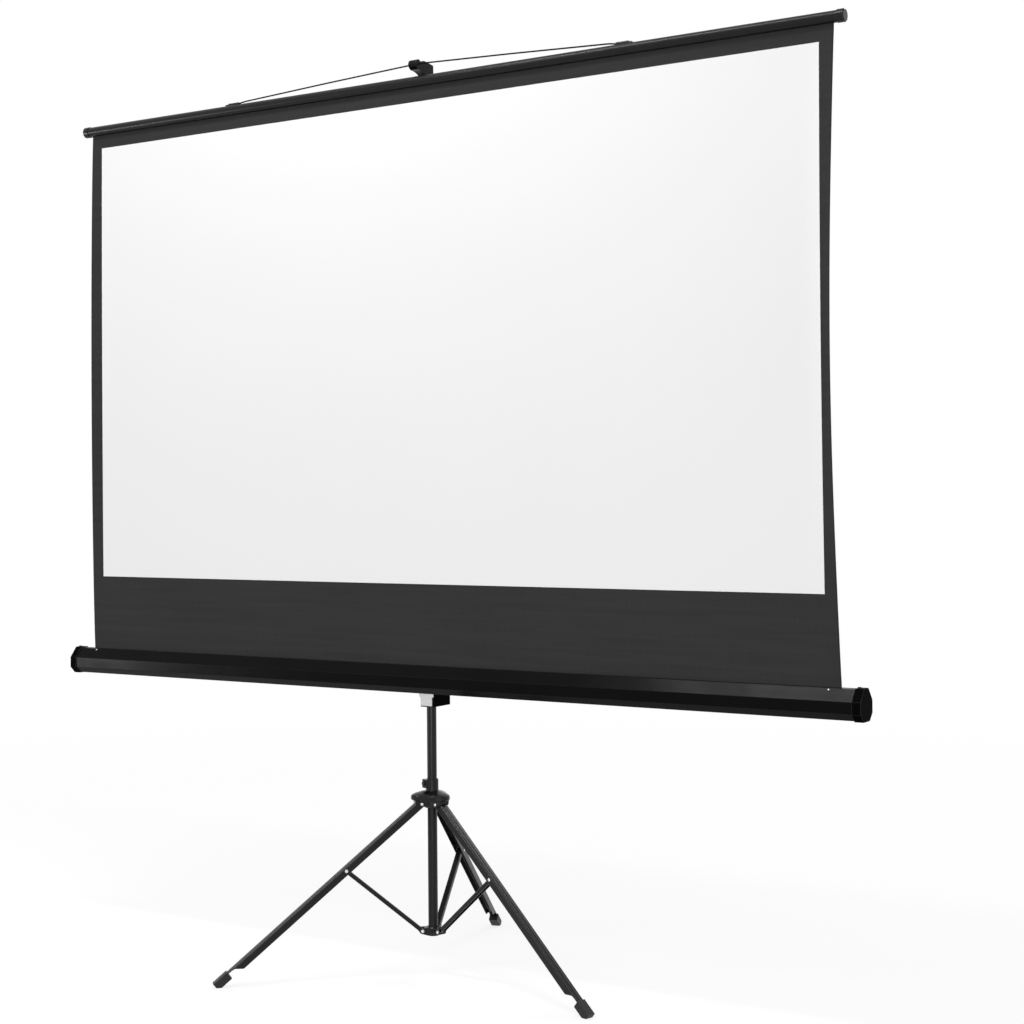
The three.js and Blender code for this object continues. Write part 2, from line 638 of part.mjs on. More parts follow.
// Bracket block on the mast: a split clamp that reaches back to its bolt
const halfB = BRACKET_W / 2;
const bracketPlan = new THREE.Shape();
bracketPlan.moveTo(-halfB + 2, BRACKET_FRONT);
bracketPlan.lineTo(halfB - 2, BRACKET_FRONT);
bracketPlan.lineTo(halfB, BRACKET_FRONT + 2);
bracketPlan.lineTo(halfB, BRACKET_BACK - 8);
bracketPlan.quadraticCurveTo(halfB, BRACKET_BACK, halfB - 8, BRACKET_BACK);
bracketPlan.lineTo(-halfB + 8, BRACKET_BACK);
bracketPlan.quadraticCurveTo(-halfB, BRACKET_BACK, -halfB, BRACKET_BACK - 8);
bracketPlan.lineTo(-halfB, BRACKET_FRONT + 2);
bracketPlan.closePath();
const plateLow = BRACKET_Z + PLATE_LIFT;
const plateHigh = plateLow + PLATE_H;
const studZ = (CASE_Z + CASE_LOW + CASE_TOP - CASE_UP_H) / 2;
const boltY = (MAST_BORE + BRACKET_BACK) / 2 + 4;
const boltZ = BRACKET_Z + BRACKET_H * 0.7;
const splitTool = new THREE.BoxGeometry(BRACKET_SPLIT, BRACKET_BACK + 10, BRACKET_H + 20);
const bracketBody = cut(
  solid(prism(bracketPlan, BRACKET_Z, BRACKET_Z + BRACKET_H, 5)),
  solid(rod(MAST_BORE, BRACKET_Z - 5, BRACKET_Z + BRACKET_H + 5, "z", 32)),
  solid(splitTool.translate(0, (BRACKET_BACK + 10) / 2, BRACKET_Z + BRACKET_H / 2)),
  solid(rod(BRACKET_BOLT_R + GAP, -BRACKET_W, BRACKET_W, "x", 16).translate(0, boltY, boltZ)),
  solid(rod(PLATE_STUD_R + GAP, BRACKET_FRONT - 5, BRACKET_FRONT + PLATE_STUD_LEN, "y", 20).translate(0, 0, studZ)),
);
add(stand, "mast_bracket", bracketBody, blackPlastic);
const boltHead = BRACKET_BOLT_R * 1.8;
const boltIn = halfB + GAP;
const boltOut = boltIn + 4;
add(stand, "bracket_bolt", turned([
  [0, -boltOut], [boltHead - 1, -boltOut], [boltHead, -boltOut + 1], [boltHead, -boltIn], [BRACKET_BOLT_R, -boltIn],
  [BRACKET_BOLT_R, boltIn], [boltHead, boltIn], [boltHead, boltOut - 1], [boltHead - 1, boltOut], [0, boltOut],
], 16).rotateY(Math.PI / 2), blackTube).position.set(0, boltY, boltZ);

// Bright steel plate that carries the case, with a stud into the block
const plateShape = outline([
  [-PLATE_TONGUE_W / 2, plateLow], [PLATE_TONGUE_W / 2, plateLow],
  [PLATE_TONGUE_W / 2, plateLow + PLATE_TONGUE_H], [PLATE_W / 2, plateLow + PLATE_TONGUE_H + 4],
  [PLATE_W / 2, plateHigh], [-PLATE_W / 2, plateHigh],
  [-PLATE_W / 2, plateLow + PLATE_TONGUE_H + 4], [-PLATE_TONGUE_W / 2, plateLow + PLATE_TONGUE_H],
]);
const plateMid = PLATE_Y + PLATE_T / 2;
const plateStud = rod(PLATE_STUD_R, plateMid, BRACKET_FRONT + PLATE_STUD_LEN - GAP, "y", 20).translate(0, 0, studZ);
const plateHoles = [-1, 1].map((k) => solid(
  rod(PLATE_RIVET_R + GAP, -60, 60, "y", 14).translate(k * PLATE_RIVET_PITCH / 2, PLATE_Y, studZ),
));
const plateBody = cut(
  join(solid(runY(plateShape, PLATE_T).translate(0, plateMid, 0)), solid(plateStud)), ...plateHoles,
);
add(stand, "case_plate", plateBody, plateSteel);

// Case: an eight-sided thin shell with a slot along its top for the fabric
const halfD = CASE_D / 2;
const eightSides = [
  [CASE_Y + halfD - CASE_UP_D, CASE_TOP], [CASE_Y + halfD, CASE_TOP - CASE_UP_H], [CASE_Y + halfD, CASE_Z + CASE_LOW],
  [CASE_Y + halfD - CASE_LOW, CASE_Z], [CASE_Y - halfD + CASE_LOW, CASE_Z], [CASE_Y - halfD, CASE_Z + CASE_LOW],
  [CASE_Y - halfD, CASE_TOP - CASE_UP_H], [CASE_Y - halfD + CASE_UP_D, CASE_TOP],
];

// Moves each side of a convex outline in by d (out where d is negative)
function inset(points, d) {
  const n = points.length;
  const sides = points.map(([u0, v0], i) => {
    const [u1, v1] = points[(i + 1) % n];
    const len = Math.hypot(u1 - u0, v1 - v0);
    const nu = (v1 - v0) / len;
    const nv = -(u1 - u0) / len;
    return { nu, nv, c: nu * u0 + nv * v0 };
  });
  const turn = Math.sign(points.reduce((s, [u0, v0], i) => {
    const [u1, v1] = points[(i + 1) % n];
    return s + u0 * v1 - u1 * v0;
  }, 0));
  return points.map((_, i) => {
    const a = sides[(i + n - 1) % n];
    const b = sides[i];
    const ca = a.c - turn * d;
    const cb = b.c - turn * d;
    const det = a.nu * b.nv - a.nv * b.nu;
    return [(ca * b.nv - a.nv * cb) / det, (a.nu * cb - ca * b.nu) / det];
  });
}
const innerSides = inset(eightSides, CASE_WALL);
const slotBack = FABRIC_Y + CASE_SLOT / 2;
const slotFront = FABRIC_Y - CASE_SLOT / 2;
const shellOutline = outline([
  [slotBack, CASE_TOP], ...eightSides, [slotFront, CASE_TOP],
  [slotFront, CASE_TOP - CASE_WALL], ...innerSides.slice().reverse(), [slotBack, CASE_TOP - CASE_WALL],
]);
const caseHalf = CASE_LEN / 2;
const shellHalf = caseHalf - CASE_CAP_FACE - GAP;
const shellHoles = [-1, 1].map((k) => solid(
  rod(PLATE_RIVET_R + GAP, CASE_BACK - 4, CASE_BACK + 4, "y", 14).translate(k * PLATE_RIVET_PITCH / 2, 0, studZ),
));
add(stand, "case_shell", cut(solid(runX(shellOutline, -shellHalf, shellHalf)), ...shellHoles), caseBlack);
for (const [side, k] of [["left", -1], ["right", 1]]) {
  const headIn = CASE_BACK - CASE_WALL - GAP;
  const head = rod(PLATE_RIVET_R * 1.8, headIn - 1.6, headIn, "y", 14);
  const shank = rod(PLATE_RIVET_R, headIn - 0.5, PLATE_Y + PLATE_T, "y", 14);
  const plateRivet = geometryOf(join(solid(head), solid(shank)));
  add(stand, `plate_rivet_${side}`, plateRivet, bright).position.set(k * PLATE_RIVET_PITCH / 2, 0, studZ);
}

// End caps of the case: an eight-sided cup with a boss for the roller's pin
const capOuter = outline(inset(eightSides, -CASE_CAP_WALL - GAP));
const capInner = outline(inset(eightSides, -GAP));
const capMouth = caseHalf - CASE_CAP_FACE - CASE_CAP_SKIRT;
const capFloor = caseHalf - CASE_CAP_FACE;
const rollerHalf = capFloor - ROLLER_BOSS_LEN - ROLLER_FLANGE - 2 * GAP;
const pinFrom = rollerHalf + ROLLER_FLANGE + GAP;
for (const [side, k] of [["left", -1], ["right", 1]]) {
  const boss = rod(ROLLER_BOSS_R, capFloor - ROLLER_BOSS_LEN, capFloor + 0.5, "x", 20);
  const bore = rod(ROLLER_PIN_R + PIVOT_PLAY, capFloor - ROLLER_BOSS_LEN - 1, capFloor + 1, "x", 20);
  const cup = cut(solid(runX(capOuter, capMouth, caseHalf)), solid(runX(capInner, capMouth - 1, capFloor)));
  const cap = cut(
    join(cup, solid(boss.translate(0, ROLLER_Y, ROLLER_Z))),
    solid(bore.translate(0, ROLLER_Y, ROLLER_Z)),
  );
  const shape = geometryOf(cap);
  if (k < 0) {
    shape.scale(-1, 1, 1);
    shape.setIndex(Array.from(shape.index.array).reverse());
  }
  add(stand, `case_cap_${side}`, shape, blackPlastic);
}

// Spring roller with a plug and pin at each end
const roller = new THREE.Group();
roller.position.set(0, ROLLER_Y, ROLLER_Z);
stand.add(roller);
add(roller, "roller_tube", roundTube(ROLLER_R, ROLLER_WALL, -rollerHalf, rollerHalf, 24).rotateY(Math.PI / 2), rollerGrey);
const insertR = ROLLER_R - ROLLER_WALL - GAP;
const pinTo = pinFrom - GAP + ROLLER_PIN_LEN - 2;
for (const [side, k] of [["left", -1], ["right", 1]]) {
  const plug = turned([
    [0, rollerHalf - ROLLER_INSERT], [insertR, rollerHalf - ROLLER_INSERT], [insertR, rollerHalf + GAP],
    [ROLLER_R, rollerHalf + GAP], [ROLLER_R, pinFrom - GAP + GAP / 2], [ROLLER_PIN_R, pinFrom - GAP + GAP / 2],
    [ROLLER_PIN_R, Math.min(pinTo, capFloor - GAP)], [0, Math.min(pinTo, capFloor - GAP)],
  ], 20);
  add(roller, `roller_plug_${side}`, plug.rotateY(k * Math.PI / 2), blackPlastic);
}

// Top bar: a round slotted tube, with a cap on each end
const barHalf = BAR_LEN / 2;
const barBody = barHalf - BAR_CAP_FACE - GAP;
const slotAngle = Math.asin(BAR_SLOT / 2 / BAR_R);
const slotInner = Math.asin(BAR_SLOT / 2 / (BAR_R - BAR_WALL));
const barShape = new THREE.Shape();
barShape.absarc(0, 0, BAR_R, -Math.PI / 2 + slotAngle, Math.PI * 1.5 - slotAngle, false);
barShape.absarc(0, 0, BAR_R - BAR_WALL, Math.PI * 1.5 - slotInner, -Math.PI / 2 + slotInner, true);
barShape.closePath();
const bar = new THREE.Group();
bar.position.set(0, FABRIC_Y, BAR_Z);
stand.add(bar);
add(bar, "top_bar", runX(barShape, -barBody, barBody, 28), caseBlack);
const barCapR = BAR_R + GAP + BAR_CAP_WALL;
for (const [side, k] of [["left", -1], ["right", 1]]) {
  const cap = turned([
    [0, barHalf - BAR_CAP_FACE], [BAR_R + GAP, barHalf - BAR_CAP_FACE], [BAR_R + GAP, barHalf - BAR_CAP_SKIRT],
    [barCapR, barHalf - BAR_CAP_SKIRT], [barCapR, barHalf - 2], [barCapR - 2, barHalf], [0, barHalf],
  ], 28);
  add(bar, `bar_cap_${side}`, cap.rotateY(k * Math.PI / 2), blackPlastic);
}

// Clips that hold the bail's ends on top of the bar, each with a rivet
const tailMid = BAIL_SPAN / 2 + CLIP_MARGIN + CLIP_LEN / 2;
const wireWay = WIRE_R + PIVOT_PLAY;
const clipTop = BAIL_Z - BAR_Z + wireWay + CLIP_WALL;
const clipSide = new THREE.Shape();
clipSide.moveTo(-CLIP_W / 2, 0);
clipSide.lineTo(CLIP_W / 2, 0);
clipSide.lineTo(CLIP_W / 2, clipTop - 3.5);
clipSide.quadraticCurveTo(CLIP_W / 2 - 0.5, clipTop, 0, clipTop);
clipSide.quadraticCurveTo(-CLIP_W / 2 + 0.5, clipTop, -CLIP_W / 2, clipTop - 3.5);
clipSide.closePath();
for (const [side, k] of [["left", -1], ["right", 1]]) {
  const rivetAt = CLIP_LEN / 2 - CLIP_RIVET_R - 2;
  const stepDown = new THREE.BoxGeometry(14, CLIP_W + 2, 20).translate(rivetAt + 2, 0, BAIL_Z - BAR_Z + 10);
  const clip = cut(
    solid(runX(clipSide, -CLIP_LEN / 2, CLIP_LEN / 2, 5)),
    solid(rod(BAR_R + GAP, -CLIP_LEN, CLIP_LEN, "x", 48)),
    solid(rod(wireWay, -CLIP_LEN, CLIP_LEN / 2 - 16, "x", 12).translate(0, 0, BAIL_Z - BAR_Z)),
    solid(new THREE.BoxGeometry(CLIP_LEN * 1.5 - 16, 2 * wireWay, 2 * wireWay)
      .translate(-CLIP_LEN / 4 - 8, 0, BAIL_Z - BAR_Z - wireWay)),
    solid(stepDown),
  );
  const shape = geometryOf(clip);
  if (k < 0) {
    shape.scale(-1, 1, 1);
    shape.setIndex(Array.from(shape.index.array).reverse());
  }
  add(bar, `bail_clip_${side}`, shape, blackTube).position.x = k * tailMid;
  const cap = turned([
    [0, 0], [CLIP_RIVET_R, 0], [CLIP_RIVET_R, 0.8], [CLIP_RIVET_R * 0.6, 1.6], [0, 1.6],
  ], 14);
  add(bar, `clip_rivet_${side}`, cap, bright).position.set(k * (tailMid + rivetAt), 0, BAIL_Z - BAR_Z + GAP);
}

// Bail: a stiff wire in its own leaning plane, with a kick up from each clip and a bend over the hook
class WirePath extends THREE.Curve {
  constructor(points) {
    super();
    this.points = points;
  }
  getPoint(t, target = new THREE.Vector3()) {
    const f = Math.min(Math.max(t, 0), 1) * (this.points.length - 1);
    const i = Math.min(Math.floor(f), this.points.length - 2);
    return target.copy(this.points[i]).lerp(this.points[i + 1], f - i);
  }
  getPointAt(u, target) {
    return this.getPoint(u, target);
  }
  getSpacedPoints() {
    return this.points;
  }
  getTangentAt(u, target = new THREE.Vector3()) {
    const i = Math.round(u * (this.points.length - 1));
    const before = this.points[Math.max(i - 1, 0)];
    const after = this.points[Math.min(i + 1, this.points.length - 1)];
    return target.copy(after).sub(before).normalize();
  }
}
const halfSpan = BAIL_SPAN / 2;
const slope = (BAIL_RISE - BAIL_KICK) / (halfSpan - BAIL_KICK_RUN);
const bend = 26;
const halfWire = [
  [halfSpan + BAIL_TAIL, 0], [halfSpan + 4, 0], [halfSpan, 0.3], [halfSpan - 4, 1.6],
  [halfSpan - BAIL_KICK_RUN + 3, BAIL_KICK - 1], [halfSpan - BAIL_KICK_RUN - 1, BAIL_KICK],
  [halfSpan - BAIL_KICK_RUN - 8, BAIL_KICK + 8 * slope], [halfSpan / 2, BAIL_RISE - halfSpan / 2 * slope + 1.2],
  [bend, BAIL_RISE - bend * slope + 0.2], [bend / 2, BAIL_RISE - 0.2],
];
const wirePoints = [
  ...halfWire.map(([u, h]) => new THREE.Vector3(-u, 0, h)),
  new THREE.Vector3(0, 0, BAIL_RISE),
  ...halfWire.slice().reverse().map(([u, h]) => new THREE.Vector3(u, 0, h)),
];
const ringShape = new THREE.Shape().absarc(0, 0, WIRE_R, 0, 2 * Math.PI, false);
const bailWire = new THREE.ExtrudeGeometry(ringShape, {
  steps: wirePoints.length - 1, extrudePath: new WirePath(wirePoints), curveSegments: 10,
});
const bail = add(stand, "bail_wire", bailWire, blackTube);
bail.position.set(0, FABRIC_Y, BAIL_Z);
bail.rotation.x = -rad(BAIL_LEAN);

// Viewing fabric: a thin sheet from the roller to a hem in the bar, its side edges curled forward
function fabricSheet() {
  const half = FABRIC_W / 2;
  const low = ROLLER_Z;
  const hemZ = BAR_Z - BAR_R + BAR_WALL + HEM_R + GAP;
  const across = [1, 0.86, 0.72, 0.57, 0.4, 0.2, 0].map((k) => k * CURL_REACH);
  const columns = [...across.slice().reverse().map((u) => [-1, u]), ...across.map((u) => [1, u])];
  const rows = [];
  const add1 = (z, h) => rows.push([z, h]);
  add1(low, FABRIC_T / 2);
  const free = hemZ - HEM_R - BAR_WALL - CURL_FOOT;
  for (let i = 0; i <= 12; i++) add1(CURL_FOOT + (free * i) / 12, FABRIC_T / 2);
  const neck = Math.asin(FABRIC_T / 2 / HEM_R);
  for (let i = 0; i <= 4; i++) {
    const a = neck + ((Math.PI - 0.35 - neck) * i) / 4;
    add1(hemZ - HEM_R * Math.cos(a), HEM_R * Math.sin(a));
  }
  const curl = (z) => {
    const v = (z - CURL_FOOT) / free;
    return v <= 0 || v >= 1 ? 0 : Math.pow(Math.sin(Math.PI * v), 0.75);
  };
  const point = ([k, u], [z, h], face) => {
    const amount = (k > 0 ? CURL_RIGHT : CURL_LEFT) * curl(z);
    const s = 1 - u / CURL_REACH;
    const drawIn = (2 / 3) * (amount * amount / CURL_REACH) * s * s * s;
    return [k * (half - u - drawIn), FABRIC_Y - amount * s * s + face * h, z];
  };
  const position = [];
  for (const face of [-1, 1]) {
    for (const row of rows) for (const column of columns) position.push(...point(column, row, face));
  }
  const [nr, nc] = [rows.length, columns.length];
  const at = (f, r, c) => f * nr * nc + r * nc + c;
  const index = [];
  const quad = (a, b, c, d) => index.push(a, b, c, a, c, d);
  for (let r = 0; r < nr - 1; r++) {
    for (let c = 0; c < nc - 1; c++) {
      quad(at(0, r, c), at(0, r, c + 1), at(0, r + 1, c + 1), at(0, r + 1, c));
      quad(at(1, r, c), at(1, r + 1, c), at(1, r + 1, c + 1), at(1, r, c + 1));
    }
    quad(at(0, r, 0), at(0, r + 1, 0), at(1, r + 1, 0), at(1, r, 0));
    quad(at(0, r, nc - 1), at(1, r, nc - 1), at(1, r + 1, nc - 1), at(0, r + 1, nc - 1));
  }
  for (let c = 0; c < nc - 1; c++) {
    quad(at(0, 0, c), at(1, 0, c), at(1, 0, c + 1), at(0, 0, c + 1));
    quad(at(0, nr - 1, c), at(0, nr - 1, c + 1), at(1, nr - 1, c + 1), at(1, nr - 1, c));
  }
  const geometry = new THREE.BufferGeometry();
  geometry.setAttribute("position", new THREE.Float32BufferAttribute(position, 3));
  geometry.setIndex(index);
  return geometry;
}
add(stand, "screen_fabric", fabricSheet(), viewWhite);

export default product;
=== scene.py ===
"""Looks of the tripod projection screen, in the shared frame: metres, +Z up, viewing side towards -Y."""
import json
import math

import bmesh
import bpy
from mathutils import Matrix, Vector

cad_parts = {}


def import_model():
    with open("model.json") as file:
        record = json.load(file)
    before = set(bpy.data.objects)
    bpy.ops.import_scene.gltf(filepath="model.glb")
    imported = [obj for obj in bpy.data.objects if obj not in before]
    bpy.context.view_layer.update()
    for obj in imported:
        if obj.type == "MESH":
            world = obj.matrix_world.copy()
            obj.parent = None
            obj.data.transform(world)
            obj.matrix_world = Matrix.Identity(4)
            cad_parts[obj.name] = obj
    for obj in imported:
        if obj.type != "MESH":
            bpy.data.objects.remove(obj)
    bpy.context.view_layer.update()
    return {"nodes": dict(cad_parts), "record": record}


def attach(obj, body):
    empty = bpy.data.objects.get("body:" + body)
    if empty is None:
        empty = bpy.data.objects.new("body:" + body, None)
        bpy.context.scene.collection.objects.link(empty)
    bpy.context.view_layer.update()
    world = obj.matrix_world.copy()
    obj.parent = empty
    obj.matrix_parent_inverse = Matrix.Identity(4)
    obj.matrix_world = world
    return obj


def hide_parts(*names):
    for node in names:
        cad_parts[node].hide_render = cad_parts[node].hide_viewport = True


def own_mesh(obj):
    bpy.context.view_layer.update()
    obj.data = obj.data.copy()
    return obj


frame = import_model()

# Sizes shared with the solids, in metres
MAST_Y = -0.07238
FABRIC_FRONT = 0.054
FABRIC_Y = MAST_Y - FABRIC_FRONT
VIEW_W = 2.214
VIEW_H = 1.245
VIEW_Z = 1.009
BORDER_SIDE = 0.036
FABRIC_T = 0.0008
CURL_RIGHT = 0.030
CURL_LEFT = 0.012
CURL_REACH = 0.080
CASE_TOP = 0.801
CASE_FORWARD = 0.005
CASE_Y = FABRIC_Y - CASE_FORWARD
CASE_HALF = 1.202
CASE_HALF_DEPTH = 0.034
CASE_BEVEL = Vector((0, -22, -27)).normalized()
CASE_BEVEL_NORMAL = Vector((0, -27, 22)).normalized()
ROLLER_Z = 0.764
BAR_Z = 2.306
BAR_R = 0.014
BAR_LIP = 0.0016
GAP = 0.0003
HEM_R = 0.003
HEM_Z = BAR_Z - BAR_R + BAR_LIP + HEM_R + GAP
STRAIGHT_TOP = 0.012
STRAIGHT_FOOT = 0.006


# Camera, fitted to the photo in pixels
PHOTO_PX = 1024
FOCAL_PX = 1839.07
CENTRE_X_PX = 49.01
CENTRE_Y_PX = -54.54
SENSOR_MM = 36
EYE = (2.6821, -3.9605 + MAST_Y, 1.2447)


def camera():
    yaw, pitch, roll = 0.5771, 0.0188, -0.0082
    forward = Vector((-math.sin(yaw) * math.cos(pitch), math.cos(yaw) * math.cos(pitch), math.sin(pitch)))
    right = Vector((math.cos(yaw), math.sin(yaw), 0))
    up = right.cross(forward)
    right2 = right * math.cos(roll) + up * math.sin(roll)
    up2 = up * math.cos(roll) - right * math.sin(roll)
    data = bpy.data.cameras.new("photo_camera")
    data.sensor_width = SENSOR_MM
    data.lens = FOCAL_PX / PHOTO_PX * SENSOR_MM
    data.shift_x = CENTRE_X_PX / PHOTO_PX
    data.shift_y = CENTRE_Y_PX / PHOTO_PX
    data.clip_end = 100
    obj = bpy.data.objects.new("photo_camera", data)
    turn = Matrix((right2, up2, -forward)).transposed().to_4x4()
    obj.matrix_world = Matrix.Translation(EYE) @ turn
    bpy.context.scene.collection.objects.link(obj)
    bpy.context.scene.camera = obj


camera()
bpy.context.scene.view_settings.view_transform = "Standard"


# Shader expressions
class Sock:
    """A shader socket that takes part in Python arithmetic."""

    def __init__(self, tree, out):
        self.tree = tree
        self.out = out

    def node(self, kind, inputs=(), out=0, **settings):
        made = self.tree.nodes.new(kind)
        for name, value in settings.items():
            setattr(made, name, value)
        for key, value in dict(inputs).items():
            if isinstance(value, Sock):
                self.tree.links.new(value.out, made.inputs[key])
            else:
                made.inputs[key].default_value = value
        return Sock(self.tree, made.outputs[out])

    def math(self, operation, a, b=0.0):
        return self.node("ShaderNodeMath", {0: a, 1: b}, operation=operation)

    def __add__(self, other):
        return self.math("ADD", self, other)

    def __sub__(self, other):
        return self.math("SUBTRACT", self, other)

    def __rsub__(self, other):
        return self.math("SUBTRACT", other, self)

    def __mul__(self, other):
        return self.math("MULTIPLY", self, other)

    def __gt__(self, other):
        return self.math("GREATER_THAN", self, other)

    def __lt__(self, other):
        return self.math("LESS_THAN", self, other)

    def abs(self):
        return self.math("ABSOLUTE", self)

    def clamp(self, low, high):
        return self.math("MAXIMUM", self.math("MINIMUM", self, high), low)

    def axis(self, name):
        return self.node("ShaderNodeSeparateXYZ", {0: self}, out="XYZ".index(name))

    def noise(self, scale, detail=3.0, roughness=0.55, stretch=(1, 1, 1)):
        where = self.node("ShaderNodeMapping", {"Vector": self, "Scale": stretch})
        return self.node("ShaderNodeTexNoise", {"Vector": where, "Scale": scale, "Detail": detail,
                                                "Roughness": roughness})

    def mix(self, low, high):
        return self.node("ShaderNodeMix", {0: self, 6: low, 7: high}, out=2, data_type="RGBA")


def material(name):
    mat = bpy.data.materials.new(name)
    mat.use_nodes = True
    tree = mat.node_tree
    bsdf = tree.nodes["Principled BSDF"]
    where = tree.nodes.new("ShaderNodeTexCoord")
    return mat, tree, bsdf, Sock(tree, where.outputs["Object"])


def wire(tree, bsdf, **sockets):
    for name, value in sockets.items():
        socket = bsdf.inputs[name.replace("_", " ")]
        if isinstance(value, Sock):
            tree.links.new(value.out, socket)
        else:
            socket.default_value = value


def grey(value, cool=0.0):
    return (value, value, value * (1 + cool), 1)


def edge_mask(obj, soft, gain):
    """1 along the corners of a piece, where the rounded normal turns away from the face's own."""
    true = obj.node("ShaderNodeNewGeometry", out="Normal")
    along = obj.node("ShaderNodeVectorMath", {0: soft, 1: true}, out="Value", operation="DOT_PRODUCT")
    return ((1.0 - along) * gain).clamp(0.0, 1.0)


def coated(name, dark, light, rough, grain, depth, shine=0.25, stretch=(1, 1, 1), edge=0.0008, edge_highlight_grey=0.06):
    """A dark coated or moulded surface: cloudy tone, fine grain, and corners painted lighter as a highlight.
    """
    mat, tree, bsdf, obj = material(name)
    cloud = obj.noise(9.0, 4.0)
    fine = obj.noise(grain, 3.0, 0.6, stretch)
    tone = (cloud * 0.6 + fine * 0.4).clamp(0.0, 1.0)
    soft = obj.node("ShaderNodeBevel", {"Radius": edge}, samples=6)
    bump = obj.node("ShaderNodeBump", {"Strength": 0.35, "Distance": depth, "Height": fine, "Normal": soft})
    # Painted highlight: the corners are lightened in the base colour to stand in for light catching them
    painted_highlight_mask = edge_mask(obj, soft, 9.0) * (cloud * 0.6 + 0.4)
    wire(tree, bsdf, Base_Color=painted_highlight_mask.mix(tone.mix(dark, light), grey(edge_highlight_grey)), Normal=bump,
         Roughness=(cloud * 0.16 + fine * 0.10 + (rough - 0.13)).clamp(0.05, 0.95), Specular_IOR_Level=shine)
    return mat


def bright_metal(name, tint, rough, grain, stretch):
    mat, tree, bsdf, obj = material(name)
    lines = obj.noise(grain, 4.0, 0.65, stretch)
    stain = obj.noise(35.0, 3.0)
    soft = obj.node("ShaderNodeBevel", {"Radius": 0.0005}, samples=6)
    bump = obj.node("ShaderNodeBump", {"Strength": 0.2, "Distance": 0.0001, "Height": lines, "Normal": soft})
    low = tuple(c * 0.72 for c in tint[:3]) + (1,)
    wire(tree, bsdf, Base_Color=(lines * 0.6 + stain * 0.4).clamp(0.0, 1.0).mix(low, tint), Metallic=0.95,
         Roughness=(lines * 0.22 + rough - 0.1).clamp(0.08, 0.9), Normal=bump)
    return mat


def cloth_face():
    """Matte white field inside a matte black border, laid out on the cloth's own flat metres."""
    mat, tree, bsdf, obj = material("screen_face")
    flat = Sock(tree, tree.nodes["Texture Coordinate"].outputs["UV"])
    u = flat.axis("X")
    v = flat.axis("Y")
    inside = (u.abs() < VIEW_W / 2) * (v > VIEW_Z) * (v < VIEW_Z + VIEW_H)
    weave = flat.noise(900.0, 2.0, 0.6, (1, 1, 1))
    warp = flat.noise(500.0, 2.0, 0.5, (1, 0.05, 1))
    cloud = flat.noise(2.2, 3.0)
    white = (weave * 0.5 + cloud * 0.5).mix((0.86, 0.862, 0.862, 1), (0.9, 0.9, 0.898, 1))
    streak = flat.noise(60.0, 3.0, 0.6, (0.04, 1, 1))
    black = (warp * 0.25 + streak * 0.5 + cloud * 0.25).mix(grey(0.017, 0.03), grey(0.047, 0.03))
    bump = obj.node("ShaderNodeBump", {"Strength": 0.25, "Distance": 0.0001, "Height": weave + warp})
    wire(tree, bsdf, Base_Color=inside.mix(black, white), Normal=bump,
         Roughness=(weave * 0.12 + 0.80).clamp(0.1, 0.98), Specular_IOR_Level=0.12)
    return mat


def cloth_back():
    mat, tree, bsdf, obj = material("screen_back")
    flat = Sock(tree, tree.nodes["Texture Coordinate"].outputs["UV"])
    weave = flat.noise(700.0, 2.0, 0.6)
    cloud = flat.noise(3.0, 3.0)
    bump = obj.node("ShaderNodeBump", {"Strength": 0.3, "Distance": 0.0001, "Height": weave})
    wire(tree, bsdf, Base_Color=(weave * 0.5 + cloud * 0.5).mix(grey(0.018), grey(0.032)), Normal=bump,
         Roughness=(weave * 0.15 + 0.75).clamp(0.1, 0.98))
    return mat


ALONG_X = (0.02, 1, 1)
# In every look made with coated(), the lighter grey set for the corners is a painted highlight
MATS = {
    "black_paint": coated("black_paint", grey(0.005), grey(0.012), 0.22, 420.0, 0.00005,
                          shine=0.20, edge=0.0018, edge_highlight_grey=0.22),
    "black_plastic": coated("black_plastic", grey(0.004), grey(0.009), 0.22, 900.0, 0.00006,
                            shine=0.20, edge_highlight_grey=0.10),
    "case_black": coated("case_black", grey(0.0014), grey(0.0034), 0.22, 260.0, 0.00003,
                         shine=0.045, stretch=ALONG_X),
    "rivet_bright": bright_metal("rivet_bright", grey(0.78), 0.26, 600.0, (1, 1, 1)),
    "plate_steel": bright_metal("plate_steel", grey(0.58), 0.34, 420.0, (0.05, 1, 1)),
    "roller_metal": bright_metal("roller_metal", grey(0.50), 0.40, 200.0, ALONG_X),
}
FACE = cloth_face()
BACK = cloth_back()

# Pieces whose surface differs from the rest of their slot
CAP_BLACK = coated("cap_black", grey(0.0016), grey(0.004), 0.34, 900.0, 0.00008, shine=0.002, edge_highlight_grey=0.16)
BAR_BLACK = coated("bar_black", grey(0.007), grey(0.013), 0.26, 260.0, 0.00004, shine=0.16, stretch=ALONG_X)
WIRE_BLACK = coated("wire_black", grey(0.002), grey(0.005), 0.30, 600.0, 0.00002,
                    shine=0.06, edge=0.0002, edge_highlight_grey=0.01)
HOOK_BLACK = coated("hook_black", grey(0.003), grey(0.006), 0.26, 900.0, 0.00006, shine=0.07, edge_highlight_grey=0.14)
SHOE_RUBBER = coated("shoe_rubber", grey(0.009), grey(0.018), 0.46, 700.0, 0.00012, shine=0.22)
NODE_LOOKS = {
    "case_cap_left": CAP_BLACK,
    "case_cap_right": CAP_BLACK,
    "mast_bracket": CAP_BLACK,
    "hook_head": HOOK_BLACK,
    "top_bar": BAR_BLACK,
    "bail_wire": WIRE_BLACK,
    "foot_left": SHOE_RUBBER,
    "foot_right": SHOE_RUBBER,
    "foot_back": SHOE_RUBBER,
}

for part in frame["record"]["subparts"]:
    obj = frame["nodes"][part["node"]]
    look = NODE_LOOKS.get(part["node"], MATS.get(part["material_slot"]))
    if look:
        obj.data.materials.clear()
        obj.data.materials.append(look)


# Viewing fabric
SAG = 0.0010
EDGE_COLUMNS = 16
HALF_COLUMNS = 20
FREE_ROWS = 90
HEM_ROWS = 8
HEM_OPEN = 0.35


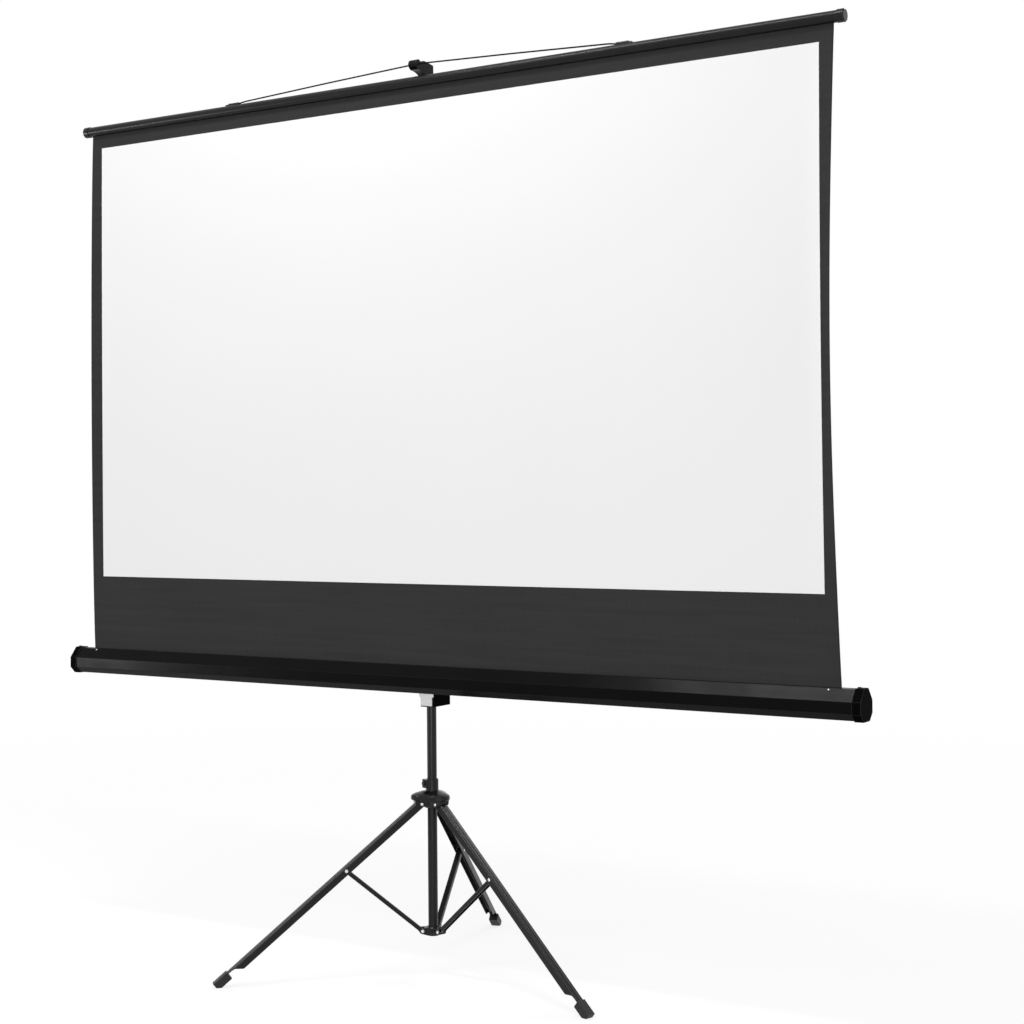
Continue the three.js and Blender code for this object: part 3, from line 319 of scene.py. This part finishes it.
def curl_amount(z):
    """0 at the case and the bar, 1 half way, where nothing holds the cloth's side edge."""
    foot = CASE_TOP + STRAIGHT_FOOT
    free = HEM_Z - HEM_R - STRAIGHT_TOP - foot
    v = (z - foot) / free
    return 0.0 if v <= 0 or v >= 1 else math.sin(math.pi * v) ** 0.75


def ripple(x, z):
    """The faint sag lines of a cloth that hangs from a bar."""
    v = min(max((z - CASE_TOP) / (BAR_Z - CASE_TOP), 0), 1)
    return SAG * math.sin(math.pi * v) * math.sin(2.2 * math.pi * x / 1.1 + 0.8)


def fabric_point(x, z):
    half = VIEW_W / 2 + BORDER_SIDE
    side = 1 if x > 0 else -1
    amount = (CURL_RIGHT if side > 0 else CURL_LEFT) * curl_amount(z)
    s = max(0.0, 1 - (half - abs(x)) / CURL_REACH)
    draw_in = (2 / 3) * amount * amount / CURL_REACH * s ** 3
    return side * (abs(x) - draw_in), FABRIC_Y - amount * s * s + ripple(x, z), z


def make_fabric():
    half = VIEW_W / 2 + BORDER_SIDE
    inner = half - 1.25 * CURL_REACH
    edge = [inner + (half - inner) * i / EDGE_COLUMNS for i in range(EDGE_COLUMNS + 1)]
    middle = [inner * (i / HALF_COLUMNS - 1) for i in range(1, 2 * HALF_COLUMNS)]
    xs = [-x for x in reversed(edge)] + middle + edge
    straight = [ROLLER_Z + (HEM_Z - HEM_R - ROLLER_Z) * i / FREE_ROWS for i in range(FREE_ROWS)]
    rows = [(z, FABRIC_T / 2) for z in straight]
    neck = math.asin(FABRIC_T / 2 / HEM_R)
    for i in range(HEM_ROWS + 1):
        a = neck + (math.pi - HEM_OPEN - neck) * i / HEM_ROWS
        rows.append((HEM_Z - HEM_R * math.cos(a), HEM_R * math.sin(a)))
    bm = bmesh.new()
    uv = bm.loops.layers.uv.new("flat")
    skins = []
    for face in (-1, 1):
        grid = []
        for z, h in rows:
            line = []
            for x in xs:
                px, py, pz = fabric_point(x, z)
                line.append((bm.verts.new((px, py + face * h, pz)), x, z))
            grid.append(line)
        skins.append(grid)

    def quad(corners, slot):
        made = bm.faces.new([c[0] for c in corners])
        made.material_index = slot
        made.smooth = True
        for loop, (_, x, z) in zip(made.loops, corners):
            loop[uv].uv = (x, z)

    front, back = skins
    last = len(xs) - 1
    for r in range(len(rows) - 1):
        for c in range(last):
            quad((front[r][c], front[r][c + 1], front[r + 1][c + 1], front[r + 1][c]), 0)
            quad((back[r][c], back[r + 1][c], back[r + 1][c + 1], back[r][c + 1]), 1)
        quad((front[r][0], front[r + 1][0], back[r + 1][0], back[r][0]), 1)
        quad((front[r][last], back[r][last], back[r + 1][last], front[r + 1][last]), 1)
    top = len(rows) - 1
    for c in range(last):
        quad((front[0][c], back[0][c], back[0][c + 1], front[0][c + 1]), 1)
        quad((front[top][c], front[top][c + 1], back[top][c + 1], back[top][c]), 1)
    mesh = bpy.data.meshes.new("viewing_fabric")
    bm.to_mesh(mesh)
    bm.free()
    mesh.materials.append(FACE)
    mesh.materials.append(BACK)
    obj = bpy.data.objects.new("viewing_fabric", mesh)
    bpy.context.scene.collection.objects.link(obj)
    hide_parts("screen_fabric")
    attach(obj, "carrier")
    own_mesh(obj)
    return obj


make_fabric()


# Small fittings that show on the surface
def piece(name, bm, look, body):
    mesh = bpy.data.meshes.new(name)
    bmesh.ops.recalc_face_normals(bm, faces=bm.faces)
    for f in bm.faces:
        f.smooth = True
    bm.to_mesh(mesh)
    bm.free()
    mesh.materials.append(look)
    mesh.set_sharp_from_angle(angle=math.radians(35))
    obj = bpy.data.objects.new(name, mesh)
    bpy.context.scene.collection.objects.link(obj)
    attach(obj, body)
    return obj


def screw_head(bm, place, normal, radius, height):
    """A pan head with a cross recess, standing on place along normal."""
    turn = Vector(normal).to_track_quat("Z", "Y").to_matrix()
    around, out = 40, 9
    rings = []
    for r in range(out + 1):
        k = r / out
        ring = []
        for i in range(around):
            a = 2 * math.pi * i / around
            u, v = radius * k * math.cos(a), radius * k * math.sin(a)
            dome = height * math.sqrt(max(0.0, 1 - k ** 4))
            cross = min(abs(u), abs(v)) < 0.14 * radius and k < 0.68
            spot = Vector((u, v, dome - (0.55 * height if cross else 0)))
            ring.append(bm.verts.new(Vector(place) + turn @ spot))
        rings.append(ring)
    for r in range(1, out):
        for i in range(around):
            j = (i + 1) % around
            bm.faces.new((rings[r][i], rings[r][j], rings[r + 1][j], rings[r + 1][i]))
    bm.faces.new(rings[1])
    bm.faces.new(list(reversed(rings[out])))
    for spare in rings[0]:
        bm.verts.remove(spare)


def case_screws():
    """One small screw near each end of the case, high on its upper front bevel."""
    bm = bmesh.new()
    screw_x, below_edge, sunk = 1.119, 0.004, 0.0002
    bevel_run = 0.022
    for side in (-1, 1):
        edge = Vector((side * screw_x, CASE_Y - CASE_HALF_DEPTH + bevel_run, CASE_TOP))
        spot = edge + CASE_BEVEL * below_edge
        screw_head(bm, spot - CASE_BEVEL_NORMAL * sunk, CASE_BEVEL_NORMAL, 0.0026, 0.0012)
    return piece("case_screws", bm, MATS["rivet_bright"], "carrier")


def cap_latches():
    """The low moulded catch on the top front edge of each end cap."""
    bm = bmesh.new()
    length, depth, height = 0.009, 0.007, 0.0034
    inset, forward, cap_rise, half_rise = 0.0125, 0.008, 0.0021, 0.0016
    top_taper = 0.8
    for side in (-1, 1):
        for v in bmesh.ops.create_cube(bm, size=1.0)["verts"]:
            taper = top_taper if v.co.z > 0 else 1.0
            v.co = Vector((side * (CASE_HALF - inset) + v.co.x * length * taper,
                           CASE_Y - forward + v.co.y * depth * taper,
                           CASE_TOP + cap_rise + half_rise + v.co.z * height))
    bmesh.ops.bevel(bm, geom=bm.edges[:], offset=0.0007, segments=3, affect="EDGES", profile=0.5)
    return piece("cap_latches", bm, MATS["black_plastic"], "carrier")


def neck_rivet():
    """The small round head on the front of the spider's neck."""
    bm = bmesh.new()
    turn, neck_z, neck_r = math.radians(34), 0.4795, 0.0162
    way = Vector((math.sin(turn), -math.cos(turn), 0))
    screw_head(bm, Vector((0, MAST_Y, neck_z)) + way * neck_r, way, 0.0022, 0.0010)
    return piece("neck_rivet", bm, MATS["black_paint"], "spider")


case_screws()
cap_latches()
neck_rivet()


# Stage and light
def seen(tree):
    """1 for rays that see the backdrop itself: straight, mirrored or through glass."""
    path = tree.nodes.new("ShaderNodeLightPath")
    names = ("Is Camera Ray", "Is Glossy Ray", "Is Transmission Ray")
    straight, mirrored, through = [Sock(tree, path.outputs[name]) for name in names]
    return (straight + mirrored + through).clamp(0.0, 1.0)


def stage():
    """A floor disc that fades from a shaded patch under the stand into the plain white of the backdrop."""
    bm = bmesh.new()
    count, radius, below = 64, 40, 0.0002
    angles = [2 * math.pi * i / count for i in range(count)]
    bm.faces.new([bm.verts.new((radius * math.cos(a), radius * math.sin(a), -below)) for a in angles])
    mesh = bpy.data.meshes.new("studio_floor")
    bm.to_mesh(mesh)
    bm.free()
    mat, tree, bsdf, obj = material("studio_floor")
    x, y = obj.axis("X"), obj.axis("Y")
    reach = x.math("SQRT", x * x + y * y)
    far = (reach * 0.25 - 0.4).clamp(0.0, 1.0)
    glow = seen(tree).mix((0, 0, 0, 1), far.mix(grey(0.78), grey(1.0)))
    wire(tree, bsdf, Base_Color=far.mix(grey(0.24), grey(0.0)), Roughness=0.95, Specular_IOR_Level=0.0,
         Emission_Color=glow, Emission_Strength=1.0)
    mesh.materials.append(mat)
    floor = bpy.data.objects.new("studio_floor", mesh)
    bpy.context.scene.collection.objects.link(floor)


def light(name, place, aim, width, height, power):
    data = bpy.data.lights.new(name, "AREA")
    data.shape = "RECTANGLE"
    data.size = width
    data.size_y = height
    data.energy = power
    obj = bpy.data.objects.new(name, data)
    obj.location = place
    obj.rotation_euler = (Vector(aim) - Vector(place)).to_track_quat("-Z", "Y").to_euler()
    bpy.context.scene.collection.objects.link(obj)


def world():
    made = bpy.data.worlds.new("studio")
    made.use_nodes = True
    tree = made.node_tree
    back = tree.nodes["Background"]
    tone = seen(tree).mix(grey(0.67), grey(1.0))
    tree.links.new(tone.out, back.inputs["Color"])
    bpy.context.scene.world = made


stage()
world()
light("key", (-1.8, -3.1, 4.4), (0, 0, 0.8), 0.45, 0.45, 14)
light("front", (2.8, -5.5, 0.8), (0.4, 0, 1.0), 3.0, 1.6, 128)
light("strip", (-0.2, -1.19, 4.0), (-0.2, -0.13, 0.79), 1.5, 0.2, 32)
light("tall", (-4.4, -3.5, 0.9), (-0.6, -0.1, 0.75), 0.4, 1.3, 48)
light("rim", (0.7, 3.6, 4.2), (0, 0, 0.3), 1.6, 0.6, 30)
